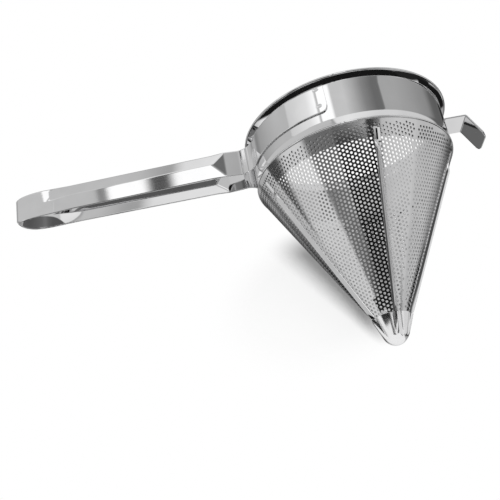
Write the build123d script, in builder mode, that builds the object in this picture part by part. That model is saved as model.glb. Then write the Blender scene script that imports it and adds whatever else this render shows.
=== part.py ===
# Chinois strainer in polished sheet steel: a collar with a flared, rolled rim, a perforated cone
# with five raised reinforcing bars, a tip cap, a hairpin strip handle and a pot hook.
# Millimetres. The cone's axis is Z, with the middle of the rim's top at the origin and the tip
# below it. The handle runs along -X and the pot hook along +X.
import os
from math import asin, atan, atan2, cos, degrees, hypot, pi, radians, sin, sqrt, tan

from build123d import *

# Collar
rim_radius = 100.0
rim_bead_radius = 1.7
rim_bead_sides = 12
collar_radius = 94.6
collar_depth = 50.0
collar_sheet = 1.2
flare_depth = 6.5
flare_bend_shares = (0.4, 0.72)
foot_bead_radius = 0.9
foot_bead_sides = 8

# Cone, with the skirt behind its first rows of holes
cone_depth = 228.0
cone_sheet = 0.8
cone_flats = 48
skirt_top_depth = 41.0
skirt_foot_depth = 63.0
skirt_sheet = 0.8
seam_clearance = 0.25
hole_diameter = 8.0
hole_sides = 8
hole_rows = 10
hole_spacing = 18.0
first_hole_depth = 67.5
last_hole_depth = 191.0

# Tip cap
cap_top_depth = 197.6
cap_top_radius = 17.4
cap_nose_depth = 211.0
cap_nose_radius = 11.7
cap_sheet = 0.9
cap_overlap = 8.0
cap_rib_width = 4.6
cap_rib_height = 2.4
cap_rib_fade_share = 0.2

# Reinforcing bars
bar_azimuths = (-162.0, -82.5, -13.5, 57.0, 127.0)
bar_width = 4.6
bar_height = 3.2
bar_crest_width = 0.7
bar_tab_width = 6.0
bar_tab_corner = 0.8
bar_tab_sheet = 1.0
bar_tab_depth = 56.0
bar_tab_length = 12.0
bar_taper_length = 9.0
bar_clearance = 0.06

# Handle
strip_width = 26.0
strip_sheet = 1.3
strap_clearance = 0.1
strap_end_azimuth = 105.0
strap_corner_radius = 6.0
root_bend_radius = 12.0
root_lean = 5.5
root_drop = 2.2
grip_root_x = -122.0
grip_root_half_width = 16.4
grip_end_x = -284.0
grip_crease_run = 12.5
grip_ridge = 4.4
grip_edge_draw = 0.8
grip_droop = 1.5
handle_end_x = -331.0
hairpin_radius = 12.7

# Pot hook
hook_width = 28.6
hook_sheet = 1.4
hook_leg_depth = 13.0
hook_reach = 22.4
hook_lip_length = 28.6
hook_lip_lean = 26.0
hook_lip_corner = 6.0
hook_bend_radius = 2.2
hook_flange_length = 25.0

# How far a cutting shape runs past what it cuts
cutter_overrun = 2.0

# Worked out from the sizes above
bore_radius = collar_radius - collar_sheet
cone_slope = collar_radius / (cone_depth - collar_depth)
half_angle = atan(cone_slope)
cone_top_depth = collar_depth + seam_clearance
cone_foot_depth = cap_top_depth + cap_overlap


def cone_radius(depth, inset=0.0):
    """Radius of the cone at a depth, on its outside or on a surface inset from it."""
    return (cone_depth - depth) * cone_slope - inset / cos(half_angle)


def slant_plane(azimuth, depth, lift=0.0):
    """Plane on the cone at a depth, with X down the slant and Z out of the sheet."""
    a = radians(azimuth)
    down = Vector(-cos(a) * sin(half_angle), -sin(a) * sin(half_angle), -cos(half_angle))
    out = Vector(cos(a) * cos(half_angle), sin(a) * cos(half_angle), -sin(half_angle))
    foot = Vector(cone_radius(depth) * cos(a), cone_radius(depth) * sin(a), -depth)
    return Plane(origin=foot + out * lift, x_dir=down, z_dir=out)


# Collar: wall, flare, rolled rim and foot bead, turned as one outline of short flats
bead_middle = rim_radius - rim_bead_radius
flare_reach = bead_middle - collar_radius
flare_rise = flare_depth - 2 * rim_bead_radius
bend_out, bend_up = flare_bend_shares
with BuildPart() as collar:
    with BuildSketch(Plane.XZ):
        with BuildLine():
            Polyline(
                (collar_radius, -collar_depth),
                (collar_radius, -flare_depth),
                (collar_radius + flare_reach * bend_out, -flare_depth + flare_rise * bend_up),
                (bead_middle, -flare_depth + flare_rise),
                (bead_middle, -flare_depth + flare_rise + collar_sheet),
                (bore_radius + flare_reach * bend_out, -flare_depth + flare_rise * bend_up + collar_sheet),
                (bore_radius, -flare_depth + collar_sheet),
                (bore_radius, -collar_depth),
                close=True,
            )
        make_face()
        with Locations((bead_middle, -rim_bead_radius)):
            RegularPolygon(rim_bead_radius, rim_bead_sides)
        with Locations((bore_radius + foot_bead_radius, -collar_depth + foot_bead_radius)):
            RegularPolygon(foot_bead_radius, foot_bead_sides, rotation=180 / foot_bead_sides)
    revolve(axis=Axis.Z)
collar.part.label = "collar"

# Inner skirt: sits in the collar, then folds in along the inside of the cone
skirt_radius = bore_radius - seam_clearance
skirt_inset = cone_sheet + seam_clearance
outer_fold_depth = cone_depth - (skirt_radius + skirt_inset / cos(half_angle)) / cone_slope
inner_fold_depth = outer_fold_depth - skirt_sheet * tan(half_angle / 2)
with BuildPart() as inner_skirt:
    with BuildSketch(Plane.XZ):
        with BuildLine():
            Polyline(
                (skirt_radius, -skirt_top_depth),
                (skirt_radius, -outer_fold_depth),
                (cone_radius(skirt_foot_depth, skirt_inset), -skirt_foot_depth),
                (cone_radius(skirt_foot_depth, skirt_inset + skirt_sheet), -skirt_foot_depth),
                (skirt_radius - skirt_sheet, -inner_fold_depth),
                (skirt_radius - skirt_sheet, -skirt_top_depth),
                close=True,
            )
        make_face()
    revolve(axis=Axis.Z)
inner_skirt.part.label = "inner_skirt"

# Perforated cone: sheet rolled in narrow flats, with rings of openings, staggered, that stand for
# the fine perforation, below a plain margin
hole_places = []
for row in range(hole_rows):
    row_depth = first_hole_depth + row * (last_hole_depth - first_hole_depth) / (hole_rows - 1)
    row_holes = round(2 * pi * cone_radius(row_depth) / hole_spacing)
    row_start = row % 2 / 2
    for hole in range(row_holes):
        hole_places.append(slant_plane((hole + row_start) * 360 / row_holes, row_depth).location)

with BuildPart() as punch:
    with BuildSketch():
        RegularPolygon(hole_diameter / 2, hole_sides)
    extrude(amount=cone_sheet + cutter_overrun, both=True)

with BuildPart() as perforated_cone:
    for inset, mode in ((0, Mode.ADD), (cone_sheet, Mode.SUBTRACT)):
        for depth in (cone_top_depth, cone_foot_depth):
            with BuildSketch(Plane.XY.offset(-depth)):
                RegularPolygon(cone_radius(depth, inset), cone_flats)
        loft(ruled=True, mode=mode)
    with Locations(*hole_places):
        add(punch.part, mode=Mode.SUBTRACT)
perforated_cone.part.label = "perforated_cone"


def make_bar(azimuth):
    """A flat tab at the head of a bar, and the sharp ridge that runs from it to the cap."""
    tab_foot_depth = bar_tab_depth + bar_tab_length * cos(half_angle)
    ridge_head_depth = tab_foot_depth + bar_taper_length * cos(half_angle)
    ridge_foot_depth = cap_top_depth + bar_height
    stations = (
        (tab_foot_depth, bar_tab_width, bar_tab_width / 2, bar_tab_sheet),
        (ridge_head_depth, bar_width, bar_crest_width, bar_height),
        (ridge_foot_depth, bar_width, bar_crest_width, bar_height),
    )
    with BuildPart() as bar:
        with BuildSketch(slant_plane(azimuth, bar_tab_depth, bar_clearance)) as tab:
            with Locations((bar_tab_length / 2, 0)):
                Rectangle(bar_tab_length, bar_tab_width)
            fillet(tab.vertices().group_by(Axis.X)[0], bar_tab_corner)
        extrude(amount=bar_tab_sheet)
        for depth, width, crest, height in stations:
            seat = slant_plane(azimuth, depth, bar_clearance)
            with BuildSketch(Plane(origin=seat.origin, x_dir=-seat.y_dir, z_dir=-seat.x_dir)):
                with BuildLine():
                    Polyline(
                        (-width / 2, 0),
                        (width / 2, 0),
                        (crest / 2, height),
                        (-crest / 2, height),
                        close=True,
                    )
                make_face()
        loft(ruled=True)
        split(bisect_by=Plane.XY.offset(-cap_top_depth + seam_clearance), keep=Keep.TOP)
    return bar.part


bars = [make_bar(azimuth) for azimuth in bar_azimuths]
for number, bar in enumerate(bars, start=1):
    bar.label = f"reinforcing_bar_{number}"

# Tip cap: a leaning wall that runs smoothly into a round nose, with a rib in line with each bar
cap_drop = cap_nose_depth - cap_top_depth
cap_lean = atan2(cap_top_radius, cap_drop) - asin(cap_nose_radius / hypot(cap_top_radius, cap_drop))
cap_wall_foot = (cap_nose_radius * cos(cap_lean), -cap_nose_depth - cap_nose_radius * sin(cap_lean))


def cap_form(inset):
    """The cap as a solid, set in from its outside."""
    radius = cap_nose_radius - inset
    top = (cap_top_radius - inset / cos(cap_lean), -cap_top_depth)
    wall_foot = (radius * cos(cap_lean), -cap_nose_depth - radius * sin(cap_lean))
    with BuildPart() as form:
        with BuildSketch(Plane.XZ):
            with BuildLine():
                Line(top, wall_foot)
                CenterArc((0, -cap_nose_depth), radius, -90, 90 - degrees(cap_lean))
                Polyline((0, -cap_nose_depth - radius), (0, -cap_top_depth), top)
            make_face()
        revolve(axis=Axis.Z)
    return form.part


with BuildPart() as tip_cap:
    add(cap_form(0))
    for azimuth in bar_azimuths:
        a = radians(azimuth)
        top = Vector(cap_top_radius * cos(a), cap_top_radius * sin(a), -cap_top_depth)
        foot = Vector(cap_wall_foot[0] * cos(a), cap_wall_foot[0] * sin(a), cap_wall_foot[1])
        head = Plane(origin=top, x_dir=(-sin(a), cos(a), 0), z_dir=foot - top)
        for along, share in ((-cap_rib_height, 1), ((foot - top).length, cap_rib_fade_share)):
            with BuildSketch(head.offset(along)):
                with BuildLine():
                    Polyline(
                        (cap_rib_width * share / 2, cap_sheet / 2),
                        (0, -cap_rib_height * share),
                        (-cap_rib_width * share / 2, cap_sheet / 2),
                        close=True,
                    )
                make_face()
        loft(ruled=True)
    split(bisect_by=Plane.XY.offset(-cap_top_depth), keep=Keep.BOTTOM)
    add(cap_form(cap_sheet), mode=Mode.SUBTRACT)
tip_cap.part.label = "tip_cap"

# Handle: one strip from strap end to strap end, its +Y half built first and mirrored
strip_half = strip_width / 2
grip_half = strip_half - grip_edge_draw
strap_mid_depth = flare_depth + strap_clearance + strip_half
strap_bore = collar_radius + strap_clearance
strap_middle = strap_bore + strip_sheet / 2
hairpin_x = handle_end_x + hairpin_radius
grip_taper = (grip_root_half_width - hairpin_radius) / (grip_root_x - grip_end_x)
crease_root_x = grip_root_x - grip_crease_run
crease_end_x = grip_end_x + grip_crease_run


def grip_half_width(x):
    """Half the handle's outside width along the grip, over the edges of its strip."""
    return hairpin_radius + grip_taper * (x - grip_end_x)


def strip_mid_depth(x):
    """Depth of the middle of the strip along the handle."""
    return strap_mid_depth + root_drop + max(0, grip_root_x - x) * tan(radians(grip_droop))


def grip_core(inset):
    """One ridged wall of the grip, filled back to the middle plane and set in from its outside."""
    reach = grip_half + cutter_overrun
    edge_lean = grip_ridge * cutter_overrun / grip_half
    with BuildPart() as core:
        for x in (grip_root_x, grip_end_x):
            edge = grip_half_width(x) - inset
            across = Plane(origin=(x, 0, -strip_mid_depth(x)), x_dir=(0, 1, 0), z_dir=(1, 0, 0))
            with BuildSketch(across):
                with BuildLine():
                    Polyline(
                        (0, reach),
                        (edge - edge_lean, reach),
                        (edge + grip_ridge, 0),
                        (edge - edge_lean, -reach),
                        (0, -reach),
                        close=True,
                    )
                make_face()
        loft(ruled=True)
        for crease_x, apex_x in ((grip_root_x, crease_root_x), (grip_end_x, crease_end_x)):
            crease = Vector(crease_x, grip_half_width(crease_x) - inset, 0)
            apex = Vector(apex_x, grip_half_width(apex_x) + grip_ridge - inset, 0)
            slope = (apex - crease).normalized()
            out = Vector(-slope.Y, slope.X, 0) if slope.X > 0 else Vector(slope.Y, -slope.X, 0)
            split(bisect_by=Plane(origin=crease, x_dir=slope, z_dir=out), keep=Keep.BOTTOM)
    return core.part


# The middle line of the strip: root wall, bend round onto the collar, and strap
root_way = Vector(cos(radians(root_lean)), -sin(radians(root_lean)))
root_out = Vector(-root_way.Y, root_way.X)
root_start = Vector(grip_root_x, grip_root_half_width) - root_out * (strip_sheet / 2)
bend_offset = root_start + root_out * root_bend_radius
along_root = bend_offset.dot(root_way)
bend_reach = strap_middle + root_bend_radius
root_length = -along_root - sqrt(along_root**2 - bend_offset.length**2 + bend_reach**2)
bend_start = root_start + root_way * root_length
bend_middle = bend_offset + root_way * root_length
bend_finish = bend_middle * (strap_middle / bend_reach)
bend_azimuth = degrees(atan2(bend_finish.Y, bend_finish.X))

# The handle's outline seen from the side, from the strap's end to the hairpin
side_stations = (
    (-strap_bore * cos(radians(180 - strap_end_azimuth)), strap_mid_depth, strip_half),
    (bend_finish.X, strap_mid_depth, strip_half),
    (bend_start.X, strip_mid_depth(bend_start.X), strip_half),
    (grip_root_x, strip_mid_depth(grip_root_x), strip_half),
    (crease_root_x, strip_mid_depth(crease_root_x), grip_half),
    (crease_end_x, strip_mid_depth(crease_end_x), grip_half),
    (grip_end_x, strip_mid_depth(grip_end_x), strip_half),
    (handle_end_x - cutter_overrun, strip_mid_depth(handle_end_x - cutter_overrun), strip_half),
)
side_top = [(x, half - depth) for x, depth, half in side_stations]
side_foot = [(x, -half - depth) for x, depth, half in reversed(side_stations)]
with BuildPart() as handle:
    add(grip_core(0))
    with BuildSketch(Plane.XY.offset(-strip_mid_depth(handle_end_x) - strip_width)):
        with BuildLine():
            Line(root_start - root_way * cutter_overrun, bend_start)
            TangentArc(bend_start, bend_finish, tangent=root_way)
            CenterArc((0, 0), strap_middle, strap_end_azimuth, bend_azimuth - strap_end_azimuth)
        trace(line_width=strip_sheet)
        with BuildLine():
            hairpin_middle = hairpin_radius - strip_sheet / 2
            Line((grip_end_x + cutter_overrun, hairpin_middle), (hairpin_x, hairpin_middle))
            CenterArc((hairpin_x, 0), hairpin_middle, 90, 90)
        trace(line_width=strip_sheet)
    extrude(amount=strip_mid_depth(handle_end_x) + strip_width)
    add(grip_core(strip_sheet), mode=Mode.SUBTRACT)
    mirror(about=Plane.XZ)
    with BuildSketch(Plane.XZ) as side:
        with BuildLine():
            Polyline(*side_top, *side_foot, close=True)
        make_face()
        fillet(side.vertices().group_by(Axis.X)[-1].sort_by(Axis.Y)[0], strap_corner_radius)
    extrude(amount=rim_radius, both=True, mode=Mode.INTERSECT)
handle.part.label = "handle"

# Pot hook: a flange on the collar, a leg straight out, and a lip that leans away from the collar
hook_bore = collar_radius + strap_clearance
hook_mid_depth = hook_leg_depth + hook_sheet / 2
hook_fold = Vector(collar_radius + hook_reach - hook_sheet / 2, -hook_mid_depth)
hook_lip = Vector(sin(radians(hook_lip_lean)), -cos(radians(hook_lip_lean))) * hook_lip_length
with BuildPart() as pot_hook:
    with BuildSketch(Plane.XY.offset(-hook_leg_depth)):
        Circle(hook_bore + hook_sheet)
        Circle(hook_bore, mode=Mode.SUBTRACT)
        with Locations((hook_bore, 0)):
            Rectangle(hook_bore, hook_width, mode=Mode.INTERSECT)
    extrude(amount=-hook_flange_length)
    with BuildSketch(Plane.XZ):
        with BuildLine():
            root = (hook_bore - cutter_overrun, -hook_mid_depth)
            FilletPolyline(root, hook_fold, hook_fold + hook_lip, radius=hook_bend_radius)
        trace(line_width=hook_sheet)
    extrude(amount=hook_width / 2, both=True)
    with BuildSketch(Plane.XY.offset(-hook_leg_depth)):
        Circle(hook_bore)
    extrude(amount=-hook_flange_length, mode=Mode.SUBTRACT)
    lip_end = pot_hook.faces().sort_by(Axis.X)[-1]
    fillet(lip_end.edges().sort_by(SortBy.LENGTH)[:2], hook_lip_corner)
pot_hook.part.label = "pot_hook"

os.makedirs("parts", exist_ok=True)
made = [collar.part, inner_skirt.part, perforated_cone.part, tip_cap.part, handle.part, pot_hook.part]
for piece in made + bars:
    export_step(piece, f"parts/{piece.label}.step")
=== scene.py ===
"""Chinois strainer: the looks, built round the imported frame.

Lengths are in millimetres in the frame's own axes until a mesh is made, and depths are counted down
from the top of the rim. The cone's axis is Z, with the middle of the rim's top at the origin. The
handle runs along -X and the pot hook along +X.
"""
import math

import bpy
import numpy as np
from mathutils import Matrix, Vector


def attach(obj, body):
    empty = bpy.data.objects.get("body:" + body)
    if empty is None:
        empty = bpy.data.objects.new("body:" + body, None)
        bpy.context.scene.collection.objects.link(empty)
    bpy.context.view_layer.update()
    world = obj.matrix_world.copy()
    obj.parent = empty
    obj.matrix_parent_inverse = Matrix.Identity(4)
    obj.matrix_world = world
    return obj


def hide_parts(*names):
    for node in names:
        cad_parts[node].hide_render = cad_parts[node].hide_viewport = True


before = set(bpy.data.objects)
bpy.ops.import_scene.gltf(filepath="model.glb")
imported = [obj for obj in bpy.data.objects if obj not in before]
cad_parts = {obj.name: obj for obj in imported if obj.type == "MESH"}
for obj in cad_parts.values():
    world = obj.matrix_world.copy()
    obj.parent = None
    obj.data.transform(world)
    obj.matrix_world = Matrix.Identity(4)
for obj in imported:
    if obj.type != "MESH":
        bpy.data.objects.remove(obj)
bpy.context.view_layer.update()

MM = 0.001
PI = math.pi
ROUND_STEPS = 288
EDGE_POINTS = 3

# Collar and its rim
RIM_R = 100.0
BEAD_R = 1.25
BEAD_ARC = (-108.0, 190.0)
COLLAR_R = 94.6
COLLAR_FOOT = 50.0
COLLAR_SHEET = 1.2
WALL_IN = COLLAR_R - COLLAR_SHEET
FLARE_TILT = math.radians(50.0)
FLARE_TOP = 2.4
FLARE_INSET = 0.35
FLARE_STOP = 0.2
FILLET_FOOT = 0.35
FILLET_TOP = 0.25
FILLET_PULL = 0.1
FILLET_SOFT = 0.05
INNER_TOP = (1.2, 1.6)
INNER_KNEE = (96.4, -3.6)
INNER_PULL = 1.6
INNER_FOOT = 0.7
HEM_R = 1.0
HEM_PROUD = 0.7
HEM_GAP = 0.15
HEM_ARC = (-90.0, 62.0)

# Cone and its perforation
CONE_DEPTH = 228.0
CONE_SHEET = 0.8
CONE_FOOT = 205.4
CONE_TOP_GAP = 0.25
HOLE_R = 1.15
HOLE_SIDES = 12
HOLE_PITCH = 3.71
HOLE_TURN = 25.7
HOLE_TOP = 52.2
HOLE_FOOT = 201.0
HOLE_MARGIN = 0.4
HOLE_WELD = 0.12
SEAM_AZIMUTH = -58.0
SLOPE = COLLAR_R / (CONE_DEPTH - COLLAR_FOOT)
HALF = math.atan(SLOPE)
SIN_H, COS_H = math.sin(HALF), math.cos(HALF)

# Skirt
SKIRT_TOP = 41.0
SKIRT_FOOT = 63.0
SKIRT_SHEET = 0.8
SKIRT_GAP = 0.25

# Bars
BAR_AZIMUTHS = (-162.0, -82.5, -13.5, 57.0, 127.0)
BAR_TOP = 56.0
BAR_FOOT = 197.3
BAR_GAP = 0.03
BAR_FOOT_GAP = 0.25
BAR_TAB_LEN = 12.0
BAR_TAPER_LEN = 9.0
BAR_TAB_WIDTH = 6.0
BAR_TAB_SHEET = 1.0
BAR_TAB_END_R = 0.8
BAR_TAB_END_DROP = 0.25
BAR_WIDTH = 4.6
BAR_HEIGHT = 3.2
BAR_CREST = 0.35
BAR_CREST_DROP = 0.03
BAR_CREST_EDGE = 0.05
BAR_CREST_SHARE = 0.6
BAR_SHOULDER_DROP = (0.3, 0.18)
BAR_BEVEL = 0.12
BAR_FLANK_FOOT = 0.25

# Tip cap
CAP_TOP = 197.6
CAP_R = 17.4
CAP_NOSE = 211.0
CAP_NOSE_R = 11.7
CAP_NOSE_END = -89.0
CAP_SHEET = 0.9
CAP_LIP = 0.12
CAP_LIP_DROP = 0.05
CAP_STEPS = 360
RIB_HALF = 2.5
RIB_HEIGHT = 2.3
RIB_REACH = 0.72
RIB_FADE = 0.8
RIB_LEAST_R = 2.0
GROOVE_OFF = 3.4
GROOVE_HALF = 1.0
GROOVE_DEPTH = 0.9

# Handle
STRIP_HALF = 13.0
STRIP_SHEET = 1.3
STRAP_MID = 19.6
STRAP_BORE = 94.7
STRAP_END = 105.0
STRAP_CORNER = 6.0
STRAP_ENDS_FROM = -60.0
ROOT_LEAN = math.radians(5.5)
ROOT_DROP = 2.2
ROOT_BEND_R = 15.0
GRIP_ROOT = -122.0
GRIP_ROOT_HALF = 16.4
GRIP_SIDE_FROM = -100.0
GRIP_MIDDLE = -200.0
CREASE_RUN = 12.5
RIDGE = 4.4
RIDGE_SOFT = 0.22
RIDGE_FADE = ((274.0, 1.0), (286.0, 0.45), (299.0, 0.0))
RIDGE_FADE_SPAN = 13
EDGE_DRAW = 0.8
DROOP = math.tan(math.radians(1.5))
HANDLE_END = -330.95
HAIRPIN_FROM = -300.0
HAIRPIN_HALF = 13.6
NIP = 5.2
NIP_HALF = 11.0
NIP_POWER = 1.2
WELD_SPOTS = ((109.0, -8.5), (109.0, -26.0))
WELD_R = 1.3
WELD_DEPTH = 0.3

# Pot hook
HOOK_WIDTH = 28.6
HOOK_SHEET = 1.4
HOOK_GAP = 0.1
HOOK_LEG = 13.0
HOOK_REACH = 22.4
HOOK_LIP = 28.6
HOOK_LEAN = math.radians(26.0)
HOOK_CORNER = 6.0
HOOK_FLANGE = 25.0
HOOK_FLANGE_CORNER = 3.0
HOOK_ROOT_R = 1.4
HOOK_ROOT_EASE = (0.2, 1.0)
HOOK_FOLD_R = 2.2
HOOK_FLAT_FROM = 8.0
HOOK_FLAT_RUN = 7.0

# Camera: its right, up and back axes, the place of the lens and its focal length
CAM_RIGHT = Vector((0.984282, 0.073682, -0.160497))
CAM_UP = Vector((0.176602, -0.410661, 0.894522))
CAM_BACK = Vector((0.0, -0.908806, -0.417219))
CAM_AT = Vector((-112.527, -634.748, -399.504))
CAM_SENSOR = 36.0
CAM_LENS = 53.881
CAM_CLIP = (0.01, 20.0)

# Table and lamp. SHADOW_FADE is in metres from SHADOW_MIDDLE
TABLE_UP = Vector((-0.2, -0.9, 0.42)).normalized()
TABLE_GAP = 1.0
TABLE_MIDDLE = Vector((-100, 0, -60))
TABLE_REACH = 2500
TABLE_TONE = 0.3
SHADOW_MIDDLE = Vector((-62, 56, -132))
SHADOW_FADE = (0.06, 0.115)
SHADOW_SHARE = 0.85
LAMP_ENERGY = 11.6
LAMP_ANGLE = math.radians(16.0)
LAMP_FROM = CAM_BACK + CAM_RIGHT * 0.1 + CAM_UP * 0.06

# Steel: how far its roughness and its tone spread, and the depth of its streaks in metres
ROUGH_SPREAD = (0.75, 1.3)
FINE_DETAIL = 4.0
CLOUD_DETAIL = 3.0
CLOUD_SCALE = 40.0
CLOUD_STOPS = (0.3, 0.7)
CLOUD_DEPTH = 0.03
BLUE = 1.005
STREAK_DEPTH = 0.00004

# Walls of the studio that the steel reflects: angle round in degrees, and tone
WALLS = (
    (-180, 0.13), (-161, 0.13), (-152, 0.45), (-139, 0.45), (-134, 0.27), (-130, 0.28), (-124, 0.38),
    (-105, 0.49), (-85, 0.56), (-71.5, 0.55), (-70, 0.72), (-44, 0.9), (-33, 1.2), (-32, 0.5),
    (-30.5, 0.5), (-29.5, 1.25), (-16.5, 1.25), (-14, 0.66), (0, 0.67), (12, 0.47), (22, 0.28),
    (34, 0.17), (42, 0.17), (43.5, 0.44), (62, 0.44), (106, 0.3), (118, 0.14), (130, 0.12),
    (146, 0.15), (160, 0.18), (168, 0.23), (176, 0.15),
)
LOW_WALLS = (
    (-180, 0.7), (-170, 0.5), (-122, 0.6), (-110, 0.9), (-60, 0.9), (-54, 0.22), (-26, 0.2),
    (-12, 0.4), (14, 0.6), (26, 0.7), (48, 0.84), (70, 0.84), (80, 0.72), (108, 0.76), (122, 0.5),
    (132, 0.3), (152, 0.5), (158, 0.8), (180, 0.7),
)
CEILING = (
    (-180, 0.6), (-60, 0.62), (-27, 0.6), (-21.5, 0.43), (-19.5, 0.43), (-17.5, 0.88), (0, 0.95),
    (40, 0.8), (180, 0.6),
)
ZENITH = 0.35
TOP_TONE = 1.25

# Heights in degrees over which the walls, the ceiling and the zenith begin
WALLS_FROM = (4.0, 16.0)
CEILING_FROM = (36.5, 39.5)
ZENITH_FROM = (71.0, 80.0)


def upright(left, right, low, high, soft):
    """The edges of a patch of wall with upright sides, each from where it starts to where it ends."""
    return {
        "round": (left - soft, left + soft, right - soft, right + soft),
        "height": (low - soft, low + soft, high - soft, high + soft),
    }


# Patches with slanting sides: degrees round less a share of the height, or the other way about
LEANING = 0.62
SLANTING = 0.67

# Patches on the walls and their tones, each laid over the ones before it
PATCHES = (
    (upright(-110, -68, -11, 12, 2.0), 0.42),
    (upright(-112, -83.5, -11, 12, 1.0), 0.08),
    (upright(28, 52, -9, 4, 2.0), 0.08),
    (upright(-152, -138, -4, 9, 2.0), 0.15),
    (upright(-172, -149, -6, 9, 2.0), 0.02),
    (upright(-23, 25, -62, -23.7, 0.8), 0.01),
    (upright(60, 152, -48, -27, 3.0), 0.02),
    (upright(15, 31, -40, -20.5, 0.8), 0.01),
    ({"leaning": (120.0, 121.5, 131.0, 134.0), "height": (29.2, 30.0, 34.0, 38.0)}, 0.02),
    (upright(97, 109, -34, -19, 1.0), 0.02),
    ({"slanting": (-97.0, -94.5, -85.0, -82.5), "round": (94.0, 96.0, 135.0, 138.0)}, 0.01),
    (upright(-168, -124, -48, -22, 4.0), 0.04),
    (upright(-128, -92, -62, -37, 2.0), 0.02),
    (upright(-124, 74, -69, -34, 2.0), 0.01),
    (upright(-45, -11.4, -19, 18, 0.3), 0.6),
    (upright(-100, -12.0, 18, 31.6, 0.5), 0.62),
    (upright(-50, -22, 36.5, 52, 0.7), 0.62),
    (upright(-11.35, -10.75, -19, 18, 0.15), 0.25),
    (upright(-10.6, 6, -19, 18, 0.2), 1.25),
    (upright(-7.5, -5.6, -19, 18, 0.5), 0.1),
)


# Camera
def make_camera():
    """The camera at the photograph's place."""
    data = bpy.data.cameras.new("camera")
    data.sensor_width = CAM_SENSOR
    data.lens = CAM_LENS
    data.clip_start, data.clip_end = CAM_CLIP
    camera = bpy.data.objects.new("camera", data)
    bpy.context.scene.collection.objects.link(camera)
    axes = Matrix((CAM_RIGHT, CAM_UP, CAM_BACK)).transposed().to_4x4()
    camera.matrix_world = Matrix.Translation(CAM_AT * MM) @ axes
    bpy.context.scene.camera = camera


make_camera()


# Shader nodes
def feed(nt, socket, value):
    """Link a socket to an input, or set the input to a number, a vector or a colour."""
    if isinstance(value, bpy.types.NodeSocket):
        nt.links.new(value, socket)
    else:
        socket.default_value = value


def add_node(nt, kind, inputs=(), **settings):
    """A new node with its settings, and its inputs by name or number."""
    node = nt.nodes.new(kind)
    for name, value in settings.items():
        setattr(node, name, value)
    for key, value in dict(inputs).items():
        feed(nt, node.inputs[key], value)
    return node


def new_material(name):
    """A material with nodes, and its node tree."""
    mat = bpy.data.materials.new(name)
    mat.use_nodes = True
    return mat, mat.node_tree


# Materials
def steel(name, tone, rough, streak, scale, stretch=(1.0, 1.0, 1.0)):
    """Polished steel: fine streaks in the roughness and the surface, and a faint cloudy tone."""
    mat, nt = new_material(name)
    place = add_node(nt, "ShaderNodeTexCoord").outputs["Object"]
    drawn = add_node(nt, "ShaderNodeMapping", {"Vector": place, "Scale": stretch}).outputs["Vector"]
    fine = add_node(nt, "ShaderNodeTexNoise", {
        "Vector": drawn,
        "Scale": scale,
        "Detail": FINE_DETAIL,
    })
    cloud = add_node(nt, "ShaderNodeTexNoise", {
        "Vector": place,
        "Scale": CLOUD_SCALE,
        "Detail": CLOUD_DETAIL,
    })
    spread = add_node(nt, "ShaderNodeMapRange", {
        "Value": fine.outputs["Fac"],
        "To Min": rough * ROUGH_SPREAD[0],
        "To Max": rough * ROUGH_SPREAD[1],
    })
    tones = add_node(nt, "ShaderNodeValToRGB", {"Fac": cloud.outputs["Fac"]})
    shades = (tone - CLOUD_DEPTH, tone + CLOUD_DEPTH)
    for point, stop, shade in zip(tones.color_ramp.elements, CLOUD_STOPS, shades):
        point.position = stop
        point.color = (shade, shade, shade * BLUE, 1.0)
    bump = add_node(nt, "ShaderNodeBump", {
        "Height": fine.outputs["Fac"],
        "Strength": streak,
        "Distance": STREAK_DEPTH,
    })
    bsdf = nt.nodes["Principled BSDF"]
    feed(nt, bsdf.inputs["Metallic"], 1.0)
    feed(nt, bsdf.inputs["Base Color"], tones.outputs["Color"])
    feed(nt, bsdf.inputs["Roughness"], spread.outputs["Result"])
    feed(nt, bsdf.inputs["Normal"], bump.outputs["Normal"])
    return mat


POLISHED = steel("polished_steel", 0.8, 0.04, streak=0.12, scale=300.0, stretch=(1.0, 1.0, 0.15))
TURNED = steel("turned_steel", 0.8, 0.045, streak=0.12, scale=260.0, stretch=(0.08, 0.08, 3.0))
BRUSHED = steel("brushed_steel", 0.8, 0.035, streak=0.12, scale=500.0, stretch=(0.06, 1.0, 1.0))
SHEET = steel("perforated_steel", 0.64, 0.09, streak=0.2, scale=700.0)
PRESSED = steel("pressed_steel", 0.86, 0.16, streak=0.3, scale=300.0)
SATIN = steel("satin_steel", 0.7, 0.25, streak=0.5, scale=600.0)


# Mesh helpers
def make_piece(name, verts, faces, mat, slot, nodes, smooth):
    """A mesh piece from points in millimetres, smooth but for edges sharper than the angle."""
    mesh = bpy.data.meshes.new(name)
    mesh.from_pydata((np.asarray(verts, float) * MM).tolist(), [], faces)
    mesh.validate()
    mesh.polygons.foreach_set("use_smooth", [True] * len(mesh.polygons))
    mesh.set_sharp_from_angle(angle=math.radians(smooth))
    mesh.update()
    obj = bpy.data.objects.new(name, mesh)
    bpy.context.scene.collection.objects.link(obj)
    mesh.materials.append(mat)
    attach(obj, "root")
    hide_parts(*nodes)
    return obj


def tube(rows, cols, closed=False, flip=False):
    """Faces between rows of points that each run round. Closed joins the last row to the first."""
    faces = []
    for i in range(rows if closed else rows - 1):
        k = (i + 1) % rows
        for j in range(cols):
            m = (j + 1) % cols
            a, b, c, d = i * cols + j, i * cols + m, k * cols + m, k * cols + j
            faces.append((a, d, c, b) if flip else (a, b, c, d))
    return faces


def lathe(profile, steps):
    """A closed outline of radius and height, turned about Z. The outline runs anticlockwise."""
    profile = np.asarray(profile, float)
    turn = np.arange(steps) * 2 * PI / steps
    r, z = profile[:, 0], profile[:, 1]
    verts = np.stack([np.outer(np.cos(turn), r), np.outer(np.sin(turn), r), np.tile(z, (steps, 1))], -1)
    return verts.reshape(-1, 3), tube(steps, len(profile), closed=True, flip=True)


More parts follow.
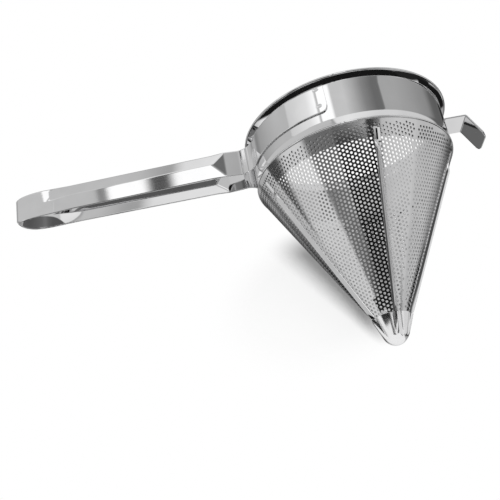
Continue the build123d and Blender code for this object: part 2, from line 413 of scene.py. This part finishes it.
def arc(cx, cy, radius, start, end, count):
    """Points on an arc in the plane, from one angle to another in degrees."""
    a = np.radians(np.linspace(start, end, count))
    return [(cx + radius * math.cos(t), cy + radius * math.sin(t)) for t in a]


def bezier(p0, p1, p2, p3, count):
    """Points on a cubic curve, without its ends."""
    t = np.linspace(0, 1, count + 2)[1:-1, None]
    p0, p1, p2, p3 = (np.asarray(p, float) for p in (p0, p1, p2, p3))
    q = (1 - t) ** 3 * p0 + 3 * (1 - t) ** 2 * t * p1 + 3 * (1 - t) * t**2 * p2 + t**3 * p3
    return [tuple(p) for p in q]


def unit(vectors):
    """The vectors along the last axis, each made one long."""
    return vectors / np.linalg.norm(vectors, axis=-1, keepdims=True)


def run_lengths(path):
    """How far along a path each of its points is."""
    return np.concatenate([[0], np.cumsum(np.linalg.norm(np.diff(path, axis=0), axis=1))])


def corner_cut(radius, from_end):
    """What a round corner takes off a side at a distance from its end."""
    return radius - np.sqrt(radius**2 - (radius - np.clip(from_end, 0, radius)) ** 2)


def mixed(a, b, share):
    """The first number where the share is 0, and the second where it is 1."""
    return a * (1 - share) + b * share


def cone_r(depth, inset=0.0):
    """Radius of the cone's outside at a depth, or of a surface inset from it."""
    return (CONE_DEPTH - depth) * SLOPE - inset / COS_H


def grid_normals(mid, like):
    """Unit normals of a grid of points, on the side that the sample directions point to."""
    n = unit(np.cross(np.gradient(mid, axis=0), np.gradient(mid, axis=1)))
    return n * np.sign((n * like).sum(2, keepdims=True))


def strip(mid, like, thick):
    """A strip of sheet about a grid of middle points, with rounded long edges and flat ends."""
    normal = grid_normals(mid, like)
    rows, cols = mid.shape[:2]
    half = thick / 2
    side = unit(np.stack([mid[:, 0] - mid[:, 1], mid[:, -1] - mid[:, -2]], 1))
    turn = np.linspace(0, PI, EDGE_POINTS + 2)[1:-1]
    far = [mid[:, -1] + half * (math.cos(t) * normal[:, -1] + math.sin(t) * side[:, 1]) for t in turn]
    near = [mid[:, 0] + half * (-math.cos(t) * normal[:, 0] + math.sin(t) * side[:, 0]) for t in turn]
    front, back = mid + normal * half, (mid - normal * half)[:, ::-1]
    loops = np.concatenate([front, np.stack(far, 1), back, np.stack(near, 1)], 1)
    n = loops.shape[1]
    faces = tube(rows, n)
    back_at, near_at = cols + EDGE_POINTS, 2 * cols + EDGE_POINTS
    for i, flip in ((0, True), (rows - 1, False)):
        ring = list(range(i * n, (i + 1) * n))
        outer, far_edge = ring[:cols], ring[cols:back_at]
        inner, near_edge = ring[back_at:near_at][::-1], ring[near_at:]
        caps = [(outer[j], outer[j + 1], inner[j + 1], inner[j]) for j in range(cols - 1)]
        caps += [(outer[-1], *far_edge, inner[-1]), (inner[0], *near_edge, outer[0])]
        faces += [cap[::-1] if flip else cap for cap in caps]
    return loops.reshape(-1, 3), faces


# Collar: wall, flare, rolled rim and hem, turned as one closed outline
def collar_mesh():
    """Points and faces of the collar."""
    bead_mid = RIM_R - BEAD_R
    hem_mid = COLLAR_R + HEM_PROUD - HEM_R
    flare_foot = -FLARE_TOP - (bead_mid - FLARE_INSET - COLLAR_R) / math.tan(FLARE_TILT)
    wall_top = flare_foot - FILLET_FOOT
    inner_foot = flare_foot - INNER_FOOT
    outline = [(COLLAR_R, z) for z in np.linspace(-COLLAR_FOOT + 2 * HEM_R + HEM_GAP, wall_top, 7)]
    outline += bezier(
        (COLLAR_R, wall_top),
        (COLLAR_R, flare_foot - FILLET_PULL),
        (COLLAR_R + FILLET_SOFT, flare_foot + FILLET_SOFT),
        (COLLAR_R + FILLET_TOP * math.sin(FLARE_TILT), flare_foot + FILLET_TOP * math.cos(FLARE_TILT)),
        6,
    )[1:]
    outline += [(bead_mid - FLARE_INSET - FLARE_STOP, -FLARE_TOP - FLARE_STOP / math.tan(FLARE_TILT))]
    outline += arc(bead_mid, -BEAD_R, BEAD_R, *BEAD_ARC, 26)
    outline += bezier(
        (bead_mid - INNER_TOP[0], -INNER_TOP[1]),
        INNER_KNEE,
        (WALL_IN, flare_foot + INNER_PULL),
        (WALL_IN, inner_foot),
        8,
    )
    outline += [(WALL_IN, z) for z in np.linspace(inner_foot, -COLLAR_FOOT, 6)[1:]]
    outline += arc(hem_mid, -COLLAR_FOOT + HEM_R, HEM_R, *HEM_ARC, 12)
    return lathe(outline, ROUND_STEPS)


collar = make_piece("collar_steel", *collar_mesh(), TURNED, "collar", ["collar"], smooth=50)


# Inner skirt: sits in the collar and folds in along the inside of the cone
def skirt_mesh():
    """Points and faces of the skirt."""
    skirt_r = WALL_IN - SKIRT_GAP
    inset = CONE_SHEET + SKIRT_GAP
    fold = CONE_DEPTH - (skirt_r + inset / COS_H) / SLOPE
    outline = [
        (cone_r(SKIRT_FOOT, inset), -SKIRT_FOOT),
        (skirt_r, -fold),
        (skirt_r, -SKIRT_TOP),
        (skirt_r - SKIRT_SHEET, -SKIRT_TOP),
        (skirt_r - SKIRT_SHEET, -fold + SKIRT_SHEET * math.tan(HALF / 2)),
        (cone_r(SKIRT_FOOT, inset + SKIRT_SHEET), -SKIRT_FOOT),
    ]
    return lathe(outline, ROUND_STEPS)


skirt = make_piece("inner_skirt_steel", *skirt_mesh(), SATIN, "inner_skirt", ["inner_skirt"], smooth=20)


# Perforated cone: a flat sector with a lattice of holes, rolled up until its two edges meet
def flat_sheet():
    """Points of the flat sheet, by distance from the cone's tip and angle, and its faces.

    The sheet is made of six-sided cells, most of them round a hole.
    """
    rho_top = (CONE_DEPTH - COLLAR_FOOT - CONE_TOP_GAP) / COS_H
    rho_foot = (CONE_DEPTH - CONE_FOOT) / COS_H
    hole_top = (CONE_DEPTH - HOLE_TOP) / COS_H - HOLE_R
    hole_foot = (CONE_DEPTH - HOLE_FOOT) / COS_H + HOLE_R
    sweep = 2 * PI * SIN_H
    side = HOLE_PITCH / math.sqrt(3)
    tilt = math.radians(HOLE_TURN)
    corner_angles = tilt + np.radians(30 + 60 * np.arange(6))
    hole_angles = [tilt + math.radians(30 + 360 / HOLE_SIDES * k) for k in range(HOLE_SIDES)]
    flat, index, faces = [], {}, []

    def polar(x, y):
        return math.hypot(x, y), math.atan2(x, y) + sweep / 2

    def corner(x, y):
        """The number of a cell's corner, kept on the sheet and shared with the next cells."""
        rho, phi = polar(x, y)
        rho = min(max(rho, rho_foot), rho_top)
        phi = min(max(phi, 0.0), sweep)
        key = (round(rho / HOLE_WELD), round(phi * rho / HOLE_WELD))
        if key not in index:
            index[key] = len(flat)
            flat.append((rho, phi))
        return index[key]

    rows = int(rho_top / (HOLE_PITCH * math.sqrt(3) / 2)) + 2
    cols = int(rho_top / HOLE_PITCH) + 2
    for row in range(-rows, rows + 1):
        for col in range(-cols, cols + 1):
            ux = (col + (row % 2) / 2) * HOLE_PITCH
            uy = row * HOLE_PITCH * math.sqrt(3) / 2
            cx = ux * math.cos(tilt) - uy * math.sin(tilt)
            cy = ux * math.sin(tilt) + uy * math.cos(tilt)
            rho, phi = polar(cx, cy)
            outside = side / max(rho, 1)
            if not rho_foot - side <= rho <= rho_top + side or not -outside <= phi <= sweep + outside:
                continue
            px = cx + side * np.cos(corner_angles)
            py = cy + side * np.sin(corner_angles)
            ring = [corner(x, y) for x, y in zip(px, py)]
            to_seam = min(phi, sweep - phi) * rho
            if len(set(ring)) == 6 and hole_foot < rho < hole_top and to_seam > HOLE_R + HOLE_MARGIN:
                rim = [len(flat) + k for k in range(HOLE_SIDES)]
                around = [(cx + HOLE_R * math.cos(a), cy + HOLE_R * math.sin(a)) for a in hole_angles]
                flat += [polar(x, y) for x, y in around]
                for k in range(6):
                    a, b = ring[k], ring[(k + 1) % 6]
                    h0, h1, h2 = rim[2 * k], rim[2 * k + 1], rim[(2 * k + 2) % HOLE_SIDES]
                    faces += [(a, h1, h0), (a, b, h1), (b, h2, h1)]
            else:
                loop = [v for i, v in enumerate(ring) if v != ring[i - 1]]
                if len(loop) == len(set(loop)) >= 3:
                    faces.append(tuple(loop))
    return np.array(flat), faces


def cone_mesh():
    """Both sides of the rolled sheet, with walls round its holes and along its edges."""
    flat, sheet_faces = flat_sheet()
    theta = math.radians(SEAM_AZIMUTH) + flat[:, 1] / SIN_H

    def rolled(inset):
        r = flat[:, 0] * SIN_H - inset * COS_H
        z = -CONE_DEPTH + flat[:, 0] * COS_H + inset * SIN_H
        return np.stack([r * np.cos(theta), r * np.sin(theta), z], 1)

    n = len(flat)
    edges = {(a, f[(i + 1) % len(f)]): None for f in sheet_faces for i, a in enumerate(f)}
    walls = [(b, a, a + n, b + n) for a, b in edges if (b, a) not in edges]
    back = [tuple(v + n for v in f[::-1]) for f in sheet_faces]
    return np.concatenate([rolled(0.0), rolled(CONE_SHEET)]), sheet_faces + back + walls


cone = make_piece(
    "perforated_cone_steel", *cone_mesh(), SHEET, "perforated_cone", ["perforated_cone"], smooth=45
)


# Reinforcing bars
def bar_section(s):
    """The bar's section at a distance from its head: places across and heights, tab or ridge."""
    t = min(max((s - BAR_TAB_LEN) / BAR_TAPER_LEN, 0.0), 1.0)
    t = t * t * (3 - 2 * t)
    half = mixed(BAR_TAB_WIDTH, BAR_WIDTH, t) / 2 - corner_cut(BAR_TAB_END_R, s)
    tall = mixed(BAR_TAB_SHEET, BAR_HEIGHT, t) - BAR_TAB_END_DROP * max(1 - s / BAR_TAB_END_R, 0.0)
    crest = mixed(half - BAR_CREST, BAR_CREST, t)
    shoulder = tall - mixed(*BAR_SHOULDER_DROP, t)
    flank = [
        (half, 0.0),
        (half - BAR_BEVEL, mixed(shoulder, BAR_FLANK_FOOT, t)),
        (crest + BAR_CREST_EDGE, shoulder),
        (crest * BAR_CREST_SHARE, tall - BAR_CREST_DROP),
    ]
    return [(-u, w) for u, w in flank] + [(0.0, tall)] + flank[::-1]


def bar_mesh(azimuth):
    """A flat tab that tapers into a ridge with two faces and a narrow round crest."""
    a = math.radians(azimuth)
    out = np.array([math.cos(a) * COS_H, math.sin(a) * COS_H, -SIN_H])
    down = np.array([-math.cos(a) * SIN_H, -math.sin(a) * SIN_H, -COS_H])
    across = np.array([-math.sin(a), math.cos(a), 0.0])
    head = np.array([cone_r(BAR_TOP) * math.cos(a), cone_r(BAR_TOP) * math.sin(a), -BAR_TOP])
    length = (BAR_FOOT - BAR_TOP) / COS_H
    tab, ridge = BAR_TAB_LEN, BAR_TAB_LEN + BAR_TAPER_LEN
    stations = [0.0, 0.15, 0.4, 0.8, 2.0, tab - 1.0, tab]
    stations += [*np.linspace(tab + 1.0, ridge, 8), *np.linspace(ridge + 4, length, 30)]
    loops = np.array([
        [head + down * s + across * u + out * (w + BAR_GAP) for u, w in bar_section(s)]
        for s in stations
    ])
    # The foot is cut off level, just over the mouth of the cap
    over = np.maximum(-CAP_TOP + BAR_FOOT_GAP - loops[..., 2], 0)
    loops -= over[..., None] * down / COS_H
    rows, cols = loops.shape[:2]
    faces = tube(rows, cols, flip=True)
    faces += [tuple(range(cols)), tuple(range((rows - 1) * cols, rows * cols))[::-1]]
    return loops.reshape(-1, 3), faces


def make_bar(number, azimuth):
    """One bar as a piece."""
    node = "reinforcing_bar_%d" % number
    return make_piece(
        node + "_steel", *bar_mesh(azimuth), POLISHED, "reinforcing_bars", [node], smooth=38
    )


bars = [make_bar(number, azimuth) for number, azimuth in enumerate(BAR_AZIMUTHS, 1)]


# Tip cap: a turned form with a rib and two grooves in line with each bar
def cap_path():
    """Radius and height of the cap's outside from its mouth to its nose."""
    drop = CAP_NOSE - CAP_TOP
    lean = math.atan2(CAP_R, drop) - math.asin(CAP_NOSE_R / math.hypot(CAP_R, drop))
    wall_foot = (CAP_NOSE_R * math.cos(lean), -CAP_NOSE - CAP_NOSE_R * math.sin(lean))
    share = np.linspace(0, 1, 22)[:, None]
    wall = mixed(np.array([(CAP_R, -CAP_TOP)]), np.array([wall_foot]), share)
    nose = arc(0, -CAP_NOSE, CAP_NOSE_R, -math.degrees(lean), CAP_NOSE_END, 20)
    return np.concatenate([wall, nose[1:]])


def cap_mesh():
    """Points and faces of the cap, outside and inside."""
    path = cap_path()
    along = run_lengths(path)
    tangent = np.gradient(path, axis=0)
    normals = unit(np.stack([-tangent[:, 1], tangent[:, 0]], 1))
    turn = np.arange(CAP_STEPS) * 2 * PI / CAP_STEPS
    fade = np.clip(1 - along / (along[-1] * RIB_REACH), 0, 1) ** RIB_FADE
    lift = np.zeros((len(path), CAP_STEPS))
    for azimuth in BAR_AZIMUTHS:
        off = (turn - math.radians(azimuth) + PI) % (2 * PI) - PI
        arc_off = np.abs(off)[None, :] * np.maximum(path[:, :1], RIB_LEAST_R)
        rib = np.clip(1 - arc_off / RIB_HALF, 0, 1) * RIB_HEIGHT
        groove = -GROOVE_DEPTH * np.exp(-((arc_off - GROOVE_OFF) / GROOVE_HALF) ** 2)
        lift += (rib + groove) * fade[:, None]

    def turned(r, z):
        return np.stack([r * np.cos(turn), r * np.sin(turn), z * np.ones(CAP_STEPS)], -1)

    out = turned(path[:, :1] + normals[:, :1] * lift, path[:, 1:] + normals[:, 1:] * lift)
    z_in = np.minimum(path[:, 1:] - normals[:, 1:] * CAP_SHEET, -CAP_TOP - CAP_LIP_DROP)
    inn = turned(path[:, :1] - normals[:, :1] * CAP_SHEET, z_in)
    lip = (out[0] + inn[0]) / 2 + np.array([0, 0, CAP_LIP])
    verts = np.concatenate([out[::-1].reshape(-1, 3), lip, inn.reshape(-1, 3)])
    rows = len(verts) // CAP_STEPS
    faces = tube(rows, CAP_STEPS)
    faces += [tuple(range(CAP_STEPS))[::-1], tuple(range((rows - 1) * CAP_STEPS, rows * CAP_STEPS))]
    return verts, faces


tip_cap = make_piece("tip_cap_steel", *cap_mesh(), PRESSED, "tip_cap", ["tip_cap"], smooth=60)


# Handle: one strip, from a strap's end round the hairpin to the other strap's end
def handle_path():
    """Plan points of the strip's middle line on the +Y side, from the strap's end to the hairpin's.

    With them come the places along X where the root's straight part begins and the strap ends.
    """
    way = np.array([math.cos(ROOT_LEAN), -math.sin(ROOT_LEAN)])
    out = np.array([-way[1], way[0]])
    start = np.array([GRIP_ROOT, GRIP_ROOT_HALF]) - out * STRIP_SHEET / 2
    strap_r = STRAP_BORE + STRIP_SHEET / 2
    offset = start + out * ROOT_BEND_R
    reach = strap_r + ROOT_BEND_R
    run = offset @ way
    length = -run - math.sqrt(run**2 - offset @ offset + reach**2)
    bend_mid = offset + way * length
    bend_start = start + way * length
    finish = math.degrees(math.atan2(bend_mid[1], bend_mid[0]))
    bend_end = math.degrees(math.atan2(-out[1], -out[0]))
    points = arc(0, 0, strap_r, STRAP_END, finish, 110)
    points += arc(bend_mid[0], bend_mid[1], ROOT_BEND_R, finish - 180, bend_end, 18)[1:]
    points += [tuple(bend_start + (start - bend_start) * t) for t in np.linspace(0, 1, 14)[1:]]
    half_root, half_end = GRIP_ROOT_HALF - STRIP_SHEET / 2, HAIRPIN_HALF - STRIP_SHEET / 2
    for x in np.linspace(GRIP_ROOT, HAIRPIN_FROM, 176)[1:]:
        points.append((x, mixed(half_root, half_end, (x - GRIP_ROOT) / (HAIRPIN_FROM - GRIP_ROOT))))
    reach = HAIRPIN_FROM - HANDLE_END - STRIP_SHEET / 2
    taper = (GRIP_ROOT_HALF - HAIRPIN_HALF) / (GRIP_ROOT - HAIRPIN_FROM)
    for t in np.radians(np.linspace(0, 90, 40)[1:]):
        run = reach * math.sin(t)
        points.append((HAIRPIN_FROM - run, (half_end - taper * run) * math.cos(t)))
    return np.array(points), bend_start[0], math.cos(math.radians(finish)) * strap_r


def soft_min(a, b, soft):
    """The lesser of two heights, rounded where they cross."""
    low = np.minimum(a, b)
    return low - soft * np.log(np.exp((low - a) / soft) + np.exp((low - b) / soft))


def handle_mesh():
    """The strip with its straps, its ridged legs and its nipped hairpin."""
    plan, root_x, strap_x = handle_path()
    whole = np.concatenate([plan, plan[:-1][::-1] * (1, -1)])
    tangent = unit(np.gradient(whole, axis=0))
    normal = np.stack([-tangent[:, 1], tangent[:, 0]], 1)
    # Normals face away from the collar's axis, and beyond GRIP_SIDE_FROM away from the grip's middle.
    # On four rows of each root bend that is the inner side, and the bend's mesh crosses itself there.
    centre = np.where(whole[:, :1] > GRIP_SIDE_FROM, (0.0, 0.0), (GRIP_MIDDLE, 0.0))
    normal *= np.sign((normal * (whole - centre)).sum(1, keepdims=True))
    x = whole[:, 0]
    azimuth = np.degrees(np.arctan2(np.abs(whole[:, 1]), x))
    near_ends = x > STRAP_ENDS_FROM
    mid = STRAP_MID + np.interp(-x, [-strap_x, -root_x], [0, ROOT_DROP])
    mid += np.maximum(GRIP_ROOT - x, 0) * DROOP
    fade_at, fade_to = zip(*RIDGE_FADE)
    drawn = [-GRIP_ROOT, CREASE_RUN - GRIP_ROOT, fade_at[0], fade_at[-1]]
    half = STRIP_HALF - np.interp(-x, drawn, [0, EDGE_DRAW, EDGE_DRAW, 0])
    # The lower edge has round corners at the strap's ends and is nipped up at the hairpin
    from_end = np.radians(azimuth - STRAP_END) * (STRAP_BORE + STRIP_SHEET / 2)
    nip = NIP * np.maximum(1 - np.abs(whole[:, 1]) / NIP_HALF, 0) ** NIP_POWER
    cut = np.where(near_ends, corner_cut(STRAP_CORNER, from_end), 0)
    cut = np.where(x < HAIRPIN_FROM, nip, cut)
    share = (np.linspace(-1, 1, 53)[None, :] + 1) / 2
    height = -half[:, None] + cut[:, None] + (2 * half - cut)[:, None] * share
    # The ridge starts at a slanting crease and fades before the hairpin
    roof = RIDGE * (1 - np.abs(height) / half[:, None])
    hip = ((GRIP_ROOT - x) * RIDGE / CREASE_RUN)[:, None]
    fade = np.pad(np.interp(-x, fade_at, fade_to), RIDGE_FADE_SPAN // 2, mode="edge")
    fade = np.convolve(fade, np.ones(RIDGE_FADE_SPAN) / RIDGE_FADE_SPAN, mode="valid")
    lift = np.maximum(soft_min(roof, hip, RIDGE_SOFT), 0.0) * fade[:, None]
    # Two shallow dimples in each strap, where it is spot-welded
    z = height - mid[:, None]
    for spot_azimuth, spot_z in WELD_SPOTS:
        along = np.radians(azimuth - spot_azimuth)[:, None] * STRAP_BORE
        dimple = WELD_DEPTH * np.exp(-((np.hypot(along, z - spot_z) / WELD_R) ** 4))
        lift -= np.where(near_ends[:, None], dimple, 0)
    grid = np.concatenate([whole[:, None] + lift[..., None] * normal[:, None], z[..., None]], 2)
    like = np.concatenate([normal, np.zeros((len(whole), 1))], 1)[:, None]
    return strip(grid, like, STRIP_SHEET)


handle = make_piece("handle_steel", *handle_mesh(), BRUSHED, "handle", ["handle"], smooth=50)


# Pot hook: a curved flange, a leg straight out and a lip that leans away
def hook_mesh():
    """Points and faces of the hook."""
    half = HOOK_SHEET / 2
    bore = COLLAR_R + HOOK_GAP
    leg_z = -HOOK_LEG - half
    fold_x = COLLAR_R + HOOK_REACH - half
    fold_len = HOOK_FOLD_R * math.tan((PI / 2 - HOOK_LEAN) / 2)
    lip_way = np.array([math.sin(HOOK_LEAN), -math.cos(HOOK_LEAN)])
    lip_start = np.array([fold_x, leg_z]) + lip_way * fold_len
    root_x, root_z = bore + half + HOOK_ROOT_R, leg_z - HOOK_ROOT_R
    flange_end, leg_start = root_z - HOOK_ROOT_EASE[0], root_x + HOOK_ROOT_EASE[1]
    points = [(bore + half, z) for z in np.linspace(-HOOK_LEG - HOOK_FLANGE, flange_end, 10)]
    points += arc(root_x, root_z, HOOK_ROOT_R, 180, 90, 6)[1:]
    points += [(x, leg_z) for x in np.linspace(leg_start, fold_x - fold_len, 10)]
    lean = math.degrees(HOOK_LEAN)
    points += arc(fold_x - fold_len, leg_z - HOOK_FOLD_R, HOOK_FOLD_R, 90, lean, 8)[1:]
    for t in (*np.linspace(0, 0.72, 12)[1:], *np.linspace(0.74, 1, 22)):
        points.append(tuple(lip_start + lip_way * (HOOK_LIP - fold_len) * t))
    path = np.array(points)
    along = run_lengths(path)
    trim = corner_cut(HOOK_CORNER, along[-1] - along) + corner_cut(HOOK_FLANGE_CORNER, along)
    y = (HOOK_WIDTH / 2 - trim)[:, None] * np.linspace(-1, 1, 25)[None, :]
    # The flange follows the collar, and the leg flattens out
    on_flange = np.clip((bore + HOOK_FLAT_FROM - path[:, :1]) / HOOK_FLAT_RUN, 0, 1)
    sag = (bore + half) - np.sqrt((bore + half) ** 2 - y**2)
    grid = np.stack([path[:, :1] - sag * on_flange, y, path[:, 1:] * np.ones_like(y)], -1)
    tangent = np.gradient(path, axis=0)
    like = np.stack([tangent[:, 1], np.zeros(len(path)), -tangent[:, 0]], 1)[:, None]
    return strip(grid, like, HOOK_SHEET)


hook = make_piece("pot_hook_steel", *hook_mesh(), BRUSHED, "pot_hook", ["pot_hook"], smooth=50)


# Studio: a room of grey walls that only the steel shows, and white light for all else
def calc(nt, op, a, b=0.0):
    """A sum on two sockets or numbers."""
    return add_node(nt, "ShaderNodeMath", {0: a, 1: b}, operation=op).outputs[0]


def smooth_step(nt, value, low, high):
    """0 below the first number, 1 above the second, and soft between."""
    inputs = {"Value": value, "From Min": low, "From Max": high}
    return add_node(nt, "ShaderNodeMapRange", inputs, interpolation_type="SMOOTHSTEP").outputs["Result"]


def blend(nt, share, a, b):
    """The first tone where the share is 0, and the second where it is 1."""
    return add_node(nt, "ShaderNodeMix", {0: share, 2: a, 3: b}, data_type="FLOAT").outputs[0]


def tone_round(nt, share, stops):
    """A tone by the share of a full turn, through a ramp whose white is the top tone."""
    node = add_node(nt, "ShaderNodeValToRGB", {"Fac": share})
    points = node.color_ramp.elements
    while len(points) < len(stops):
        points.new(0.5)
    for point, (angle, tone) in zip(points, stops):
        point.position = (angle + 180) / 360
        point.color = (tone / TOP_TONE, tone / TOP_TONE, tone / TOP_TONE, 1)
    return calc(nt, "MULTIPLY", node.outputs["Color"], TOP_TONE)


def inside(nt, values, patch):
    """1 inside a patch of wall, with soft edges."""
    part = 1.0
    for axis, (low, low_end, high, high_end) in patch.items():
        part = calc(nt, "MULTIPLY", part, smooth_step(nt, values[axis], low, low_end))
        past = smooth_step(nt, values[axis], high, high_end)
        part = calc(nt, "MULTIPLY", part, calc(nt, "SUBTRACT", 1.0, past))
    return part


def make_world():
    """The walls by direction for reflections, and plain white for everything else."""
    world = bpy.data.worlds.new("studio")
    bpy.context.scene.world = world
    world.use_nodes = True
    nt = world.node_tree
    nt.nodes.clear()
    way = add_node(nt, "ShaderNodeTexCoord").outputs["Generated"]
    x, y, z = add_node(nt, "ShaderNodeSeparateXYZ", {0: way}).outputs
    turn = calc(nt, "ARCTAN2", x, calc(nt, "MULTIPLY", y, -1.0))
    degrees = calc(nt, "MULTIPLY", turn, 180 / PI)
    share = calc(nt, "ADD", calc(nt, "MULTIPLY", turn, 0.5 / PI), 0.5)
    height = calc(nt, "MULTIPLY", calc(nt, "ARCSINE", z), 180 / PI)
    values = {
        "round": degrees,
        "height": height,
        "leaning": calc(nt, "SUBTRACT", degrees, calc(nt, "MULTIPLY", height, LEANING)),
        "slanting": calc(nt, "SUBTRACT", height, calc(nt, "MULTIPLY", degrees, SLANTING)),
    }
    tone = tone_round(nt, share, LOW_WALLS)
    for heights, above in (
        (WALLS_FROM, tone_round(nt, share, WALLS)),
        (CEILING_FROM, tone_round(nt, share, CEILING)),
        (ZENITH_FROM, ZENITH),
    ):
        tone = blend(nt, smooth_step(nt, height, *heights), tone, above)
    for patch, patch_tone in PATCHES:
        tone = blend(nt, inside(nt, values, patch), tone, patch_tone)
    grey = add_node(nt, "ShaderNodeCombineColor", {0: tone, 1: tone, 2: tone}).outputs[0]
    room = add_node(nt, "ShaderNodeBackground", {"Color": grey}).outputs["Background"]
    white = add_node(nt, "ShaderNodeBackground", {"Color": (1.0, 1.0, 1.0, 1.0)}).outputs["Background"]
    glossy = add_node(nt, "ShaderNodeLightPath").outputs["Is Glossy Ray"]
    mix = add_node(nt, "ShaderNodeMixShader", {"Fac": glossy, 1: white, 2: room})
    add_node(nt, "ShaderNodeOutputWorld", {"Surface": mix.outputs["Shader"]})


def flat_card(name, corners, mat):
    """A card with four corners in millimetres."""
    mesh = bpy.data.meshes.new(name)
    mesh.from_pydata([tuple(Vector(p) * MM) for p in corners], [], [(0, 1, 2, 3)])
    mesh.materials.append(mat)
    card = bpy.data.objects.new(name, mesh)
    bpy.context.scene.collection.objects.link(card)
    return card


def make_table(pieces):
    """A white table just behind every point of the object, clear when seen from behind.

    It glows white by itself but round the object, where it also takes the lamp's shadow.
    """
    mat, nt = new_material("white_table")
    face = nt.nodes["Principled BSDF"]
    feed(nt, face.inputs["Base Color"], (TABLE_TONE, TABLE_TONE, TABLE_TONE, 1.0))
    feed(nt, face.inputs["Roughness"], 1.0)
    feed(nt, face.inputs["Specular IOR Level"], 0.0)
    glow = add_node(nt, "ShaderNodeEmission", {"Strength": 1.0}).outputs["Emission"]
    where = add_node(nt, "ShaderNodeTexCoord").outputs["Object"]
    shadow_at = SHADOW_MIDDLE * MM
    apart = add_node(nt, "ShaderNodeVectorMath", {0: where, 1: shadow_at}, operation="DISTANCE")
    near = add_node(nt, "ShaderNodeMapRange", {
        "Value": apart.outputs["Value"],
        "From Min": SHADOW_FADE[0],
        "From Max": SHADOW_FADE[1],
        "To Min": SHADOW_SHARE,
        "To Max": 0.0,
    }, interpolation_type="SMOOTHSTEP")
    plain = face.outputs["BSDF"]
    front = add_node(nt, "ShaderNodeMixShader", {"Fac": near.outputs["Result"], 1: glow, 2: plain})
    clear = add_node(nt, "ShaderNodeBsdfTransparent").outputs["BSDF"]
    behind = add_node(nt, "ShaderNodeNewGeometry").outputs["Backfacing"]
    pick = add_node(nt, "ShaderNodeMixShader", {"Fac": behind, 1: front.outputs["Shader"], 2: clear})
    feed(nt, nt.nodes["Material Output"].inputs["Surface"], pick.outputs["Shader"])

    u = TABLE_UP.orthogonal().normalized()
    w = TABLE_UP.cross(u)
    low = min(TABLE_UP.dot(v.co) for piece in pieces for v in piece.data.vertices) / MM - TABLE_GAP
    middle = TABLE_UP * low + TABLE_MIDDLE - TABLE_UP * TABLE_UP.dot(TABLE_MIDDLE)
    corners = [middle + (u * a + w * b) * TABLE_REACH for a, b in ((-1, -1), (1, -1), (1, 1), (-1, 1))]
    table = flat_card("table", corners, mat)
    table.visible_glossy = False


def small_card(name, corners, strength):
    """A card near the tip that is seen only in the steel."""
    mat, nt = new_material(name)
    shine = add_node(nt, "ShaderNodeEmission", {"Strength": strength}).outputs["Emission"]
    feed(nt, nt.nodes["Material Output"].inputs["Surface"], shine)
    card = flat_card(name, corners, mat)
    card.visible_camera = False
    card.visible_diffuse = False
    card.visible_transmission = False
    card.visible_shadow = False
    card.visible_volume_scatter = False


def make_lamp():
    """A lamp for the shadow on the table, not seen in the steel."""
    data = bpy.data.lights.new("window", "SUN")
    data.energy = LAMP_ENERGY
    data.angle = LAMP_ANGLE
    lamp = bpy.data.objects.new("window", data)
    lamp.rotation_euler = LAMP_FROM.to_track_quat("Z", "Y").to_euler()
    lamp.visible_glossy = False
    bpy.context.scene.collection.objects.link(lamp)


make_world()
make_table((collar, skirt, cone, tip_cap, handle, hook, *bars))
small_card("white_card", [(-50, -56, -246), (50, -56, -246), (50, 50, -246), (-50, 50, -246)], 0.92)
small_card("black_card", [(-13, -63, -204), (-13, -63, -222), (-50, -28, -222), (-50, -28, -204)], 0.01)
small_card(
    "low_card", [(-23, -53.5, -222.5), (-23, -53.5, -247), (-50, -28, -247), (-50, -28, -222.5)], 0.9
)
make_lamp()

bpy.context.scene.view_settings.view_transform = "Standard"
